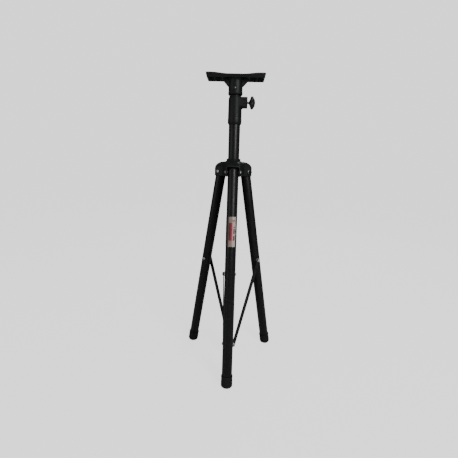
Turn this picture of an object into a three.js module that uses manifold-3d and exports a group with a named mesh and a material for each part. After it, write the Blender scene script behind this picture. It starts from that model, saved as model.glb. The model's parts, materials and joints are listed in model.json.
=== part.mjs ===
// Speaker tripod stand: a steel tube with a telescoping pole and a small platform on top,
// carried by three tubular legs that fold on a sliding hub and are spread by three flat braces.
// Millimetres, +Z up. Inside the stand the tube's axis is x = y = 0 and the floor is z = 0.

import * as THREE from 'three';
import { mergeVertices } from 'three/addons/utils/BufferGeometryUtils.js';
import Module from 'manifold-3d';

const wasm = await Module();
wasm.setup();

const DEG = Math.PI / 180;

// ---------------------------------------------------------------- driving dimensions

const GAP = 0.3; // between pieces that touch
const RUNNING_GAP = 0.35; // between pieces that slide or turn on each other
const TUBE_SIDES = 28;
const BOLT_SIDES = 12;
const KNOB_SIDES = 24;

// legs
const LEG_NAMES = ['front', 'right', 'left'];
const LEG_HEADINGS = [-90, 30, 150]; // degrees round the tube
const LEG_LENGTH = 726; // pivot to floor, along the leg
const LEG_TILT = 10.3 * DEG; // from upright, in the pose that is modelled
const LEG_RADIUS = 17.5;
const LEG_WALL = 1.5;
const LEG_ABOVE_PIVOT = 6;
const LEG_PLUG_DEPTH = 22; // below the leg's pivot
// domed cap in the top of a leg: [in from the leg's radius, over the end of the tube]
const LEG_CAP = [[0.3, 0], [1.7, 3], [5.5, 5.6]];
const LEG_CAP_HEIGHT = 6.6;
const LEG_TUBE_SPACE = 12.1; // between a leg standing upright and the tube
const BOLT_RADIUS = 3;
const BOLT_TIP = 1; // of a pivot bolt, past its nut
const HEAD_RADIUS = 5.6; // bolt heads and nuts
const HEAD_HEIGHT = 3.6;
const HEAD_RIM = 1.4; // straight part of a bolt head, under its dome
const HEAD_CROWN = 0.7; // height of the flatter part of the dome

// rubber boots
const BOOT_WALL = 2.5; // round the leg tube
const BOOT_HEIGHT = 38;
const BOOT_FLOOR = 8; // under the end of the leg tube
// outside of a boot near the floor: [in from its full radius, over its round end]
const BOOT_END = [[8, 0], [3, 1.6], [0.7, 5], [0, 10]];
const BOOT_LIP = 1; // bevel round the top
const BOOT_SINK = 3; // how far the round end runs on below the floor before it is cut flat

// braces
const BRACE_DOWN_LEG = 339; // leg pivot to brace bolt
const BRACE_WIDTH = 14;
const BRACE_THICKNESS = 3;
const BRACE_FOOT_RADIUS = 12; // lower brace pivots, along the leg's heading
const SPACER_THICKNESS = 1.3; // at least, between leg and brace
const SPACER_RADIUS = 8;

// upright
const TUBE_RADIUS = 19;
const TUBE_WALL = 1.2;
const TUBE_BOTTOM = 56.6;
const TUBE_LENGTH = 856;
const POLE_CLEARANCE = 0.3; // round the pole, in the tube
const POLE_WALL = 1.5;
const POLE_LENGTH = 760;
const SPIGOT_LENGTH = 20; // of the pole's top plug and end bush, inside the pole
const POLE_CAP = 2; // of the top plug, over the pole
const BUSH_FLANGE = 3; // of the end bush, under the pole

// triangular block in the bottom end of the tube
const BLOCK_HEIGHT = 24;
const FOOT_SCREW_DROP = 9; // lower brace pivots under the top of the block
const BLOCK_CORNER_REACH = 8; // how far the corners stand out past the faces
const BLOCK_SPIGOT = 24;
const FOOT_SCREW_DEPTH = 12;
const BLOCK_PIN_RADIUS = 2;

// hub
const HUB_NECK_WALL = 5;
const HUB_NECK_LENGTH = 10.5; // over the shoulders
const SHOULDER_RISE = 13; // foot of the neck over the room for the legs' ends
const HUB_DROP = 15; // bottom of the hub under the leg pivots
const CLEVIS_OVERHANG = 13.2; // outer face of each clevis past its pivot
const EAR_THICKNESS = 4.2;
const LEG_SIDE_GAP = 1.5; // leg tube to the clevis's ear
const SWING_GAP = 2.5; // round the end of the leg as it turns
// top of each clevis: [in from its outer face, over the room for the leg's end]
const CLEVIS_TOP = [[0, -3.5], [1.5, -0.6], [4, 2.4], [9, 6.2], [17, 9.8], [30, 12.4]];
const CLEVIS_FOOT_EDGE = 1.5; // bevel along the outer bottom edge
const CORE_INSET = 11; // round core of the hub, in from the leg pivots
const CORE_SHOULDER = 4; // rounding at the top of the core
const MOUTH_RISE = 0.74; // how high the slot opens outwards, as a share of the swing radius
const LOCK_BOSS_RADIUS = 11;
const LOCK_BOSS_STANDOFF = 20; // past the neck
const LOCK_DROP = 16; // hub lock screw below the foot of the neck

// clamp for the pole
const SLEEVE_WALL = 4.2; // round the tube
const SLEEVE_OVERLAP = 45; // how much of the tube the sleeve holds
const SLEEVE_RISE = 43; // how far the sleeve stands over the tube
const SLEEVE_CHAMFER = 2.4;
const BOSS_CHAMFER = 1.2;
const CLAMP_RISE = 24; // clamp screw over the top of the tube
const CLAMP_BOSS_RADIUS = 16;
const CLAMP_BOSS_STANDOFF = 17; // past the sleeve
const SCREW_RADIUS = 4;
const NUT_RADIUS = 7.4;
const NUT_LENGTH = 5;
const PAD_LENGTH = 3.4;
const PAD_RADIUS = 6;
const STEM = 5; // bare screw between the boss and the knob
const CLAMP_KNOB_RADIUS = 20.4;
const LOCK_KNOB_RADIUS = 15;
const KNOB_LENGTH = 20.5;
const KNOB_LOBES = 6;
const KNOB_SCOOP = 0.42; // radius of the hollow between two lobes, as a share of the knob's
const KNOB_SCOOP_REACH = 1.26; // distance of its middle from the axis, likewise

// platform on the pole
const HEAD_GAP = 3; // between the sleeve and the platform's collar, pole fully down
const PLATE_LENGTH = 189;
const PLATE_DEPTH = 64;
const PLATE_THICKNESS = 10; // in the middle
const LIP_RISE = 4; // how much higher the two ends are
const LIP_START = 22; // from the middle, where the top starts to rise
const LIP_END = 80;
const PLATE_END_LEAN = 4; // how far the ends lean in, and over what height
const COLLAR_WALL = 6; // round the pole
const COLLAR_LENGTH = 47.4;
const PLATE_RIM = 2; // from the short gussets' ends to the plate's edge
const GUSSET = 20.5; // each side of the triangular gussets
const GUSSET_THICKNESS = 6;
const POLE_IN_COLLAR = 33;
const SET_SCREW_RADIUS = 2.5;
const SET_SCREW_RISE = 19;
const SET_SCREW_RECESS = 0.6;

// label on the front leg
const LABEL_START = 147; // from the pivot
const LABEL_LENGTH = 99;
const LABEL_ANGLE = 172 * DEG;
const LABEL_THICKNESS = 0.3;

// ---------------------------------------------------------------- derived places

const pivotZ = LEG_LENGTH * Math.cos(LEG_TILT);
const pivotRadius = TUBE_RADIUS + LEG_TUBE_SPACE + LEG_RADIUS;
const bootRadius = LEG_RADIUS + BOOT_WALL;
const tubeTop = TUBE_BOTTOM + TUBE_LENGTH;
const tubeBore = TUBE_RADIUS - TUBE_WALL;
const poleRadius = tubeBore - POLE_CLEARANCE;
const slotHalf = LEG_RADIUS + LEG_SIDE_GAP;
const earOuter = slotHalf + EAR_THICKNESS;
const swingRadius = LEG_RADIUS + SWING_GAP;
const neckFoot = pivotZ + swingRadius + SHOULDER_RISE;
const neckRadius = TUBE_RADIUS + HUB_NECK_WALL;
const coreRadius = pivotRadius - CORE_INSET;
const hubTop = neckFoot + HUB_NECK_LENGTH;
const hubBottom = pivotZ - HUB_DROP;
const hubReach = pivotRadius + CLEVIS_OVERHANG;
const lockZ = neckFoot - LOCK_DROP;
const lockBossReach = neckRadius + LOCK_BOSS_STANDOFF;
const blockTop = TUBE_BOTTOM - GAP;
const blockBottom = blockTop - BLOCK_HEIGHT;
const footScrewZ = blockTop - FOOT_SCREW_DROP;
const braceInner = Math.max(TUBE_RADIUS + GAP, LEG_RADIUS + SPACER_THICKNESS + 2 * GAP);
const braceOuter = braceInner + BRACE_THICKNESS;
const blockFace = braceInner - GAP; // distance of each of the block's faces from the axis
const spacerFace = LEG_RADIUS + GAP; // the spacer's flat inner side, from the leg's axis
const spacerOuter = braceInner - GAP;
const braceBoltRadius = pivotRadius + BRACE_DOWN_LEG * Math.sin(LEG_TILT);
const braceBoltZ = pivotZ - BRACE_DOWN_LEG * Math.cos(LEG_TILT);
const braceRun = braceBoltRadius - BRACE_FOOT_RADIUS;
const braceRise = braceBoltZ - footScrewZ;
const braceLength = Math.hypot(braceRun, braceRise);
const braceTilt = Math.atan2(braceRun, braceRise);
const sleeveRadius = TUBE_RADIUS + SLEEVE_WALL;
const sleeveBottom = tubeTop - SLEEVE_OVERLAP;
const sleeveTop = tubeTop + SLEEVE_RISE;
const clampZ = tubeTop + CLAMP_RISE;
const clampBossReach = sleeveRadius + CLAMP_BOSS_STANDOFF;
const collarRadius = poleRadius + COLLAR_WALL;
const collarBottom = sleeveTop + HEAD_GAP;
const plateBottom = collarBottom + COLLAR_LENGTH;
const plateTop = plateBottom + PLATE_THICKNESS;
const poleTop = collarBottom + POLE_IN_COLLAR;
const poleBottom = poleTop - POLE_LENGTH;

// ---------------------------------------------------------------- finishes

const finish = (color, roughness, metalness) =>
  new THREE.MeshStandardMaterial({ color, roughness, metalness });
const blackSteel = finish(0x17191a, 0.45, 0.35);
const blackPlastic = finish(0x1e2222, 0.6, 0.0);
const paleNylon = finish(0x9b9c98, 0.55, 0.0);
const zinc = finish(0xc3c6c8, 0.3, 0.9);
const rubber = finish(0x101111, 0.85, 0.0);
const labelFilm = finish(0x9c4a42, 0.4, 0.0);

// ---------------------------------------------------------------- solids and booleans

// A geometry with shared corners joined and no triangle that has two equal corners.
function welded(geometry) {
  const bare = geometry.clone();
  bare.deleteAttribute('normal');
  bare.deleteAttribute('uv');
  const joined = mergeVertices(bare, 1e-4);
  const index = joined.getIndex().array;
  const kept = [];
  for (let i = 0; i < index.length; i += 3) {
    const [a, b, c] = [index[i], index[i + 1], index[i + 2]];
    if (a !== b && b !== c && c !== a) kept.push(a, b, c);
  }
  joined.setIndex(kept);
  return joined;
}

function toSolid(geometry) {
  const shape = welded(geometry);
  return new wasm.Manifold(new wasm.Mesh({
    numProp: 3,
    vertProperties: new Float32Array(shape.getAttribute('position').array),
    triVerts: new Uint32Array(shape.getIndex().array),
  }));
}

function toGeometry(solid) {
  const mesh = solid.getMesh();
  const geometry = new THREE.BufferGeometry();
  geometry.setAttribute('position', new THREE.BufferAttribute(new Float32Array(mesh.vertProperties), 3));
  geometry.setIndex(new THREE.BufferAttribute(new Uint32Array(mesh.triVerts), 1));
  return geometry;
}

// One geometry from the first list joined together, with the second list cut out of it.
function carve(joined, cut = []) {
  let solid = toSolid(joined[0]);
  for (const geometry of joined.slice(1)) solid = solid.add(toSolid(geometry));
  for (const geometry of cut) solid = solid.subtract(toSolid(geometry));
  return toGeometry(solid);
}

// A profile of [radius, z] points, going up its outside, turned round the z axis.
function turned(profile, sides = TUBE_SIDES) {
  const points = profile.map(([r, z]) => new THREE.Vector2(r, z));
  return welded(new THREE.LatheGeometry(points, sides).rotateX(Math.PI / 2));
}

const rod = (radius, z0, z1, sides = BOLT_SIDES) =>
  turned([[0, z0], [radius, z0], [radius, z1], [0, z1]], sides);

const ring = (outer, inner, z0, z1, sides = TUBE_SIDES) =>
  turned([[inner, z0], [outer, z0], [outer, z1], [inner, z1], [inner, z0]], sides);

const alongX = (geometry) => geometry.rotateY(Math.PI / 2);
const alongY = (geometry) => geometry.rotateX(-Math.PI / 2);

function box(x0, x1, y0, y1, z0, z1) {
  const geometry = new THREE.BoxGeometry(x1 - x0, y1 - y0, z1 - z0);
  return geometry.translate((x0 + x1) / 2, (y0 + y1) / 2, (z0 + z1) / 2);
}

// An outline of [x, z] points pushed from y0 to y1.
function slab(outline, y0, y1) {
  const shape = new THREE.Shape(outline.map(([x, z]) => new THREE.Vector2(x, z)));
  const geometry = new THREE.ExtrudeGeometry(shape, { depth: y1 - y0, bevelEnabled: false });
  return geometry.rotateX(Math.PI / 2).translate(0, y1, 0);
}

// An outline of [x, y] points pushed from z0 to z1.
function prism(outline, z0, z1) {
  const shape = new THREE.Shape(outline.map(([x, y]) => new THREE.Vector2(x, y)));
  const geometry = new THREE.ExtrudeGeometry(shape, { depth: z1 - z0, bevelEnabled: false });
  return geometry.translate(0, 0, z0);
}

const hexagon = (radius) =>
  Array.from({ length: 6 }, (_, i) => [radius * Math.cos(i * 60 * DEG), radius * Math.sin(i * 60 * DEG)]);

// ---------------------------------------------------------------- scene graph helpers

const stand = new THREE.Group();

function piece(parent, name, geometry, material) {
  const mesh = new THREE.Mesh(geometry, material);
  mesh.name = name;
  parent.add(mesh);
  return mesh;
}

function frameAt(parent, x, z, tilt) {
  const frame = new THREE.Group();
  frame.position.set(x, 0, z);
  frame.rotation.y = tilt;
  parent.add(frame);
  return frame;
}

// ---------------------------------------------------------------- fasteners

// A bolt along +Y with a low domed head at its far end; the head seats on y = seat.
function domedBolt(start, seat, radius = BOLT_RADIUS, headRadius = HEAD_RADIUS) {
  const top = seat + HEAD_HEIGHT;
  return alongY(turned([
    [0, start], [radius, start], [radius, seat], [headRadius, seat], [headRadius, seat + HEAD_RIM],
    [headRadius * 0.8, top - HEAD_CROWN], [headRadius * 0.4, top], [0, top],
  ], BOLT_SIDES));
}

// A hexagonal nut round the z axis, with a clear hole for its screw.
const hexNut = (radius, bore, z0, z1) =>
  carve([prism(hexagon(radius), z0, z1)], [rod(bore, z0 - 1, z1 + 1)]);

// A lobed hand knob with a conical back, on the z axis; the screw enters its blind hole.
function knob(radius, length, screwDepth) {
  const body = turned([
    [0, 0], [radius * 0.24, 0], [radius * 0.62, length * 0.2], [radius * 0.93, length * 0.27],
    [radius, length * 0.36], [radius, length * 0.55], [radius * 0.93, length * 0.64],
    [radius * 0.6, length * 0.88], [radius * 0.3, length * 0.98], [0, length],
  ], KNOB_SIDES);
  const cuts = [rod(SCREW_RADIUS + GAP, -1, screwDepth + GAP)];
  for (let i = 0; i < KNOB_LOBES; i++) {
    const angle = (i + 0.5) * (360 / KNOB_LOBES) * DEG;
    const centre = radius * KNOB_SCOOP_REACH;
    cuts.push(rod(radius * KNOB_SCOOP, -1, length + 1)
      .translate(centre * Math.cos(angle), centre * Math.sin(angle), 0));
  }
  return carve([body], cuts);
}

// ---------------------------------------------------------------- upright and its bottom block

function trianglePoints() {
  const half = Math.sqrt((blockFace + BLOCK_CORNER_REACH) ** 2 - blockFace ** 2);
  const points = [];
  for (const facing of [-60, 60, 180]) {
    const [c, s] = [Math.cos(facing * DEG), Math.sin(facing * DEG)];
    for (const along of [-half, half]) points.push([blockFace * c - along * s, blockFace * s + along * c]);
  }
  return points;
}

function addUpright() {
  const pinZ = TUBE_BOTTOM + BLOCK_SPIGOT / 2;
  const pinHole = alongX(rod(BLOCK_PIN_RADIUS + GAP, -2 * TUBE_RADIUS, 2 * TUBE_RADIUS))
    .translate(0, 0, pinZ);
  const tube = ring(TUBE_RADIUS, tubeBore, TUBE_BOTTOM, tubeTop);
  piece(stand, 'main_tube', carve([tube], [pinHole]), blackSteel);

  const screwHoles = LEG_HEADINGS.map((heading) =>
    alongY(rod(BOLT_RADIUS + GAP, -braceOuter, -blockFace + FOOT_SCREW_DEPTH + GAP))
      .translate(BRACE_FOOT_RADIUS, 0, footScrewZ).rotateZ(heading * DEG));
  const spigot = rod(tubeBore - GAP, blockTop - 1, TUBE_BOTTOM + BLOCK_SPIGOT, TUBE_SIDES);
  const block = carve([prism(trianglePoints(), blockBottom, blockTop), spigot], [...screwHoles, pinHole]);
  piece(stand, 'bottom_block', block, blackPlastic);

  const pin = alongX(rod(BLOCK_PIN_RADIUS, -TUBE_RADIUS, TUBE_RADIUS)).translate(0, 0, pinZ);
  piece(stand, 'block_cross_pin', pin, zinc);

  LEG_NAMES.forEach((name, i) => {
    const arm = new THREE.Group();
    arm.rotation.z = LEG_HEADINGS[i] * DEG;
    stand.add(arm);
    const screw = domedBolt(blockFace - FOOT_SCREW_DEPTH, braceOuter + GAP).rotateZ(Math.PI);
    piece(arm, `foot_screw_${name}`, screw, zinc).position.set(BRACE_FOOT_RADIUS, 0, footScrewZ);
  });
}

// ---------------------------------------------------------------- pole, clamp and platform

function addPole() {
  const bore = poleRadius - POLE_WALL;
  piece(stand, 'pole', ring(poleRadius, bore, poleBottom, poleTop), blackSteel);

  const capZ = poleTop + GAP;
  piece(stand, 'pole_top_plug', turned([
    [0, poleTop - SPIGOT_LENGTH], [bore - GAP, poleTop - SPIGOT_LENGTH], [bore - GAP, capZ],
    [poleRadius, capZ], [poleRadius, capZ + POLE_CAP], [0, capZ + POLE_CAP],
  ]), blackPlastic);

  const endZ = poleBottom - GAP;
  piece(stand, 'pole_end_bush', turned([
    [0, endZ - BUSH_FLANGE], [poleRadius, endZ - BUSH_FLANGE], [poleRadius, endZ],
    [bore - GAP, endZ], [bore - GAP, endZ + SPIGOT_LENGTH], [0, endZ + SPIGOT_LENGTH],
  ]), paleNylon);
}

function addClamp() {
  const c = SLEEVE_CHAMFER;
  const shell = turned([
    [0, sleeveBottom], [sleeveRadius - c, sleeveBottom], [sleeveRadius, sleeveBottom + 2 * c],
    [sleeveRadius, sleeveTop - 2 * c], [sleeveRadius - c, sleeveTop], [0, sleeveTop],
  ]);
  const boss = alongX(turned([
    [0, 0], [CLAMP_BOSS_RADIUS, 0], [CLAMP_BOSS_RADIUS, clampBossReach - BOSS_CHAMFER],
    [CLAMP_BOSS_RADIUS - BOSS_CHAMFER, clampBossReach], [0, clampBossReach],
  ])).translate(0, 0, clampZ);
  const padEnd = poleRadius + RUNNING_GAP + PAD_LENGTH;
  const nutEnd = padEnd + 2 * GAP + NUT_LENGTH;
  const cuts = [
    rod(TUBE_RADIUS + GAP, sleeveBottom - 1, tubeTop + GAP, TUBE_SIDES),
    rod(poleRadius + RUNNING_GAP, sleeveBottom - 1, sleeveTop + 1, TUBE_SIDES),
    alongX(rod(SCREW_RADIUS + GAP, 0, clampBossReach + 1)).translate(0, 0, clampZ),
    alongX(prism(hexagon(NUT_RADIUS + GAP), 0, nutEnd + GAP)).translate(0, 0, clampZ),
  ];
  piece(stand, 'clamp_sleeve', carve([shell, boss], cuts), blackPlastic);

  const pad = alongX(rod(PAD_RADIUS, poleRadius + RUNNING_GAP, padEnd));
  piece(stand, 'clamp_pad', pad, paleNylon).position.z = clampZ;
  const nut = alongX(hexNut(NUT_RADIUS, SCREW_RADIUS + GAP, nutEnd - NUT_LENGTH, nutEnd));
  piece(stand, 'clamp_nut', nut, zinc).position.z = clampZ;

  const knobStart = clampBossReach + STEM;
  const screw = alongX(rod(SCREW_RADIUS, padEnd + GAP, knobStart + KNOB_LENGTH / 2));
  piece(stand, 'clamp_screw', screw, zinc).position.z = clampZ;
  const grip = alongX(knob(CLAMP_KNOB_RADIUS, KNOB_LENGTH, KNOB_LENGTH / 2));
  piece(stand, 'clamp_knob', grip, blackPlastic).position.set(knobStart, 0, clampZ);
}

// Outline of the platform seen from the front: flat below, dished above, ends leaning in.
function plateOutline() {
  const half = PLATE_LENGTH / 2;
  const foot = half - PLATE_END_LEAN;
  const steps = 6;
  const rise = (x) => {
    const t = Math.min(Math.max((x - LIP_START) / (LIP_END - LIP_START), 0), 1);
    return plateTop + LIP_RISE * (1 - Math.cos(Math.PI * t)) / 2;
  };
  const right = [[half, plateTop + LIP_RISE]];
  for (let i = steps; i >= 0; i--) {
    const x = LIP_START + (LIP_END - LIP_START) * i / steps;
    right.push([x, rise(x)]);
  }
  const left = right.map(([x, z]) => [-x, z]).reverse();
  const edge = plateBottom + PLATE_END_LEAN;
  return [[-foot, plateBottom], [foot, plateBottom], [half, edge], ...right, ...left, [-half, edge]];
}

function addHead() {
  const collar = rod(collarRadius, collarBottom, plateBottom + 1, TUBE_SIDES);
  const reach = collarRadius + GUSSET;
  const low = plateBottom - GUSSET;
  const gusset = slab([[-collarRadius, low], [collarRadius, low], [reach, plateBottom],
    [reach, plateBottom + 1], [-reach, plateBottom + 1], [-reach, plateBottom]],
  -GUSSET_THICKNESS / 2, GUSSET_THICKNESS / 2);
  const depthReach = PLATE_DEPTH / 2 - PLATE_RIM;
  const shortLow = plateBottom - (depthReach - collarRadius);
  const shortGusset = slab([[-collarRadius, shortLow], [collarRadius, shortLow],
    [depthReach, plateBottom], [depthReach, plateBottom + 1], [-depthReach, plateBottom + 1],
    [-depthReach, plateBottom]], -GUSSET_THICKNESS / 2, GUSSET_THICKNESS / 2).rotateZ(90 * DEG);
  const plate = slab(plateOutline(), -PLATE_DEPTH / 2, PLATE_DEPTH / 2);
  const screwZ = collarBottom + SET_SCREW_RISE;
  const cuts = [
    rod(poleRadius + RUNNING_GAP, collarBottom - 1, poleTop + POLE_CAP + 3 * GAP, TUBE_SIDES),
    alongY(rod(SET_SCREW_RADIUS + GAP, -collarRadius - 1, 0)).translate(0, 0, screwZ),
  ];
  piece(stand, 'head_plate', carve([plate, collar, gusset, shortGusset], cuts), blackPlastic);

  const screwStart = -collarRadius + SET_SCREW_RECESS;
  const setScrew = alongY(rod(SET_SCREW_RADIUS, screwStart, -poleRadius - GAP));
  piece(stand, 'head_set_screw', setScrew, zinc).position.z = screwZ;
}

// ---------------------------------------------------------------- hub

// Side view of one clevis, from the hub's middle outwards.
function clevisOutline() {
  const swingTop = pivotZ + swingRadius;
  const top = CLEVIS_TOP.map(([inwards, over]) => [hubReach - inwards, swingTop + over]);
  return [[0, hubBottom], [hubReach - CLEVIS_FOOT_EDGE, hubBottom],
    [hubReach, hubBottom + CLEVIS_FOOT_EDGE], ...top, [0, neckFoot]];
}

function addHub() {
  const core = turned([
    [0, hubBottom], [coreRadius - BOSS_CHAMFER, hubBottom], [coreRadius, hubBottom + BOSS_CHAMFER],
    [coreRadius, neckFoot - CORE_SHOULDER], [coreRadius - CORE_SHOULDER, neckFoot],
    [neckRadius + CORE_SHOULDER / 2, neckFoot + CORE_SHOULDER / 2], [neckRadius, neckFoot + CORE_SHOULDER],
    [neckRadius, hubTop - BOSS_CHAMFER], [neckRadius - BOSS_CHAMFER, hubTop], [0, hubTop],
  ]);
  const joined = [core];
  const cuts = [rod(TUBE_RADIUS + RUNNING_GAP, hubBottom - 1, hubTop + 1, TUBE_SIDES)];
  for (const heading of LEG_HEADINGS) {
    const turn = (geometry) => geometry.rotateZ(heading * DEG);
    joined.push(turn(slab(clevisOutline(), -earOuter, earOuter)));
    const swing = alongY(rod(swingRadius, -slotHalf, slotHalf, 24)).translate(pivotRadius, 0, pivotZ);
    cuts.push(turn(swing));
    const inner = pivotRadius - swingRadius;
    cuts.push(turn(box(inner, 2 * hubReach, -slotHalf, slotHalf, hubBottom - 9, pivotZ)));
    cuts.push(turn(box(pivotRadius, 2 * hubReach, -slotHalf, slotHalf, pivotZ - 1,
      pivotZ + swingRadius * MOUTH_RISE)));
    cuts.push(turn(alongY(rod(BOLT_RADIUS + GAP, -2 * earOuter, 2 * earOuter))
      .translate(pivotRadius, 0, pivotZ)));
  }
  joined.push(alongY(rod(LOCK_BOSS_RADIUS, 0, lockBossReach, 24)).translate(0, 0, lockZ));
  const padEnd = TUBE_RADIUS + RUNNING_GAP + PAD_LENGTH;
  const nutEnd = padEnd + 2 * GAP + NUT_LENGTH;
  cuts.push(alongY(rod(SCREW_RADIUS + GAP, 0, lockBossReach + 1)).translate(0, 0, lockZ));
  cuts.push(alongY(prism(hexagon(NUT_RADIUS + GAP), 0, nutEnd + GAP)).translate(0, 0, lockZ));
  piece(stand, 'hub_body', carve(joined, cuts), blackPlastic);

  const pad = alongY(rod(PAD_RADIUS, TUBE_RADIUS + RUNNING_GAP, padEnd));
  piece(stand, 'hub_lock_pad', pad, paleNylon).position.z = lockZ;
  const nut = alongY(hexNut(NUT_RADIUS, SCREW_RADIUS + GAP, nutEnd - NUT_LENGTH, nutEnd));
  piece(stand, 'hub_lock_nut', nut, zinc).position.z = lockZ;
  const knobStart = lockBossReach + STEM;
  const screw = alongY(rod(SCREW_RADIUS, padEnd + GAP, knobStart + KNOB_LENGTH / 2));
  piece(stand, 'hub_lock_screw', screw, zinc).position.z = lockZ;
  const grip = alongY(knob(LOCK_KNOB_RADIUS, KNOB_LENGTH, KNOB_LENGTH / 2));
  piece(stand, 'hub_lock_knob', grip, blackPlastic).position.set(0, knobStart, lockZ);
}

// ---------------------------------------------------------------- legs and braces

function bootGeometry() {
  const end = -LEG_LENGTH - BOOT_SINK;
  const seat = -LEG_LENGTH + BOOT_FLOOR - GAP;
  const top = -LEG_LENGTH + BOOT_HEIGHT;
  const bore = LEG_RADIUS + GAP;
  const shell = turned([
    [0, end], ...BOOT_END.map(([inwards, over]) => [bootRadius - inwards, end + over]),
    [bootRadius, top - BOOT_LIP], [bootRadius - BOOT_LIP, top], [bore, top], [bore, seat], [0, seat],
  ]);
  const wide = 2 * bootRadius;
  const run = LEG_LENGTH * Math.sin(LEG_TILT);
  const floor = box(run - wide, run + wide, -wide, wide, -pivotZ - wide, -pivotZ).rotateY(LEG_TILT);
  return carve([shell], [floor]);
}

// The leg's own frame: the pivot is its origin and the leg runs down its -z axis.
function addLeg(arm, name) {
  const leg = frameAt(arm, pivotRadius, pivotZ, -LEG_TILT);
  const bore = LEG_RADIUS - LEG_WALL;
  const hole = BOLT_RADIUS + GAP;
  const across = (z) => alongY(rod(hole, -2 * LEG_RADIUS, 2 * LEG_RADIUS)).translate(0, 0, z);

  const tube = ring(LEG_RADIUS, bore, -LEG_LENGTH + BOOT_FLOOR, LEG_ABOVE_PIVOT);
  piece(leg, `leg_tube_${name}`, carve([tube], [across(0), across(-BRACE_DOWN_LEG)]), blackSteel);

  const cap = LEG_ABOVE_PIVOT + GAP;
  const plug = turned([
    [0, -LEG_PLUG_DEPTH], [bore - GAP, -LEG_PLUG_DEPTH], [bore - GAP, cap],
    ...LEG_CAP.map(([inwards, over]) => [LEG_RADIUS - inwards, cap + over]), [0, cap + LEG_CAP_HEIGHT],
  ]);
  piece(leg, `leg_plug_${name}`, carve([plug], [across(0)]), blackPlastic);

  piece(leg, `boot_${name}`, bootGeometry(), rubber);

  const spacer = alongY(ring(SPACER_RADIUS, hole, -spacerOuter, -spacerFace));
  piece(leg, `leg_spacer_${name}`, spacer, paleNylon).position.z = -BRACE_DOWN_LEG;
  const bolt = domedBolt(-spacerOuter, spacerFace);
  piece(leg, `brace_bolt_${name}`, bolt, zinc).position.z = -BRACE_DOWN_LEG;

  const pivotBolt = domedBolt(-earOuter - HEAD_HEIGHT - BOLT_TIP, earOuter + GAP);
  piece(arm, `pivot_bolt_${name}`, pivotBolt, zinc).position.set(pivotRadius, 0, pivotZ);
  const nut = alongY(hexNut(HEAD_RADIUS, hole, -earOuter - GAP - HEAD_HEIGHT, -earOuter - GAP));
  piece(arm, `pivot_nut_${name}`, nut, zinc).position.set(pivotRadius, 0, pivotZ);
  return leg;
}

// The brace's own frame: the lower pivot is its origin and the strip runs up its +z axis.
function addBrace(arm, name) {
  const brace = frameAt(arm, BRACE_FOOT_RADIUS, footScrewZ, braceTilt);
  const half = BRACE_WIDTH / 2;
  const outline = [];
  const steps = 8;
  for (let i = 0; i <= steps; i++) {
    const angle = (180 + 180 * i / steps) * DEG;
    outline.push([half * Math.cos(angle), half * Math.sin(angle)]);
  }
  for (let i = 0; i <= steps; i++) {
    const angle = (180 * i / steps) * DEG;
    outline.push([half * Math.cos(angle), braceLength + half * Math.sin(angle)]);
  }
  const hole = (z) => alongY(rod(BOLT_RADIUS + GAP, -2 * braceOuter, 0)).translate(0, 0, z);
  const strip = carve([slab(outline, -braceOuter, -braceInner)], [hole(0), hole(braceLength)]);
  piece(brace, `brace_${name}`, strip, blackSteel);

  const pin = domedBolt(braceInner, braceOuter + GAP).rotateZ(Math.PI);
  piece(brace, `brace_rivet_${name}`, pin, zinc).position.z = braceLength;
}

// A thin printed film wrapped round the outer side of a leg.
function addLabel(leg) {
  const inner = LEG_RADIUS + GAP;
  const outer = inner + LABEL_THICKNESS;
  const steps = 14;
  const arc = (radius, sign) => Array.from({ length: steps + 1 }, (_, i) => {
    const angle = sign * LABEL_ANGLE * (i / steps - 0.5);
    return [radius * Math.cos(angle), radius * Math.sin(angle)];
  });
  const film = prism([...arc(outer, 1), ...arc(inner, -1)], -LABEL_START - LABEL_LENGTH, -LABEL_START);
  piece(leg, 'leg_label', film, labelFilm);
}

// ---------------------------------------------------------------- the whole stand

addUpright();
addPole();
addClamp();
addHead();
addHub();
LEG_NAMES.forEach((name, i) => {
  const arm = new THREE.Group();
  arm.rotation.z = LEG_HEADINGS[i] * DEG;
  stand.add(arm);
  const leg = addLeg(arm, name);
  addBrace(arm, name);
  if (name === 'front') addLabel(leg);
});

// The origin is the middle of the footprint, so the upright stands a little behind it.
stand.updateMatrixWorld(true);
const reach = new THREE.Box3().setFromObject(stand, true);
stand.position.set(0, -(reach.min.y + reach.max.y) / 2, 0);

export default stand;
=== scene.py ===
"""Speaker tripod stand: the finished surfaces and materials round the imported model.

Shapes are worked out in millimetres in a frame of their own (the stand, a leg, an arm of the hub
or a brace), as rings of points, and each frame's matrix puts them in place in metres.
"""

import json
import math

import bmesh
import bpy
import numpy as np
from mathutils import Matrix, Vector


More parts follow.
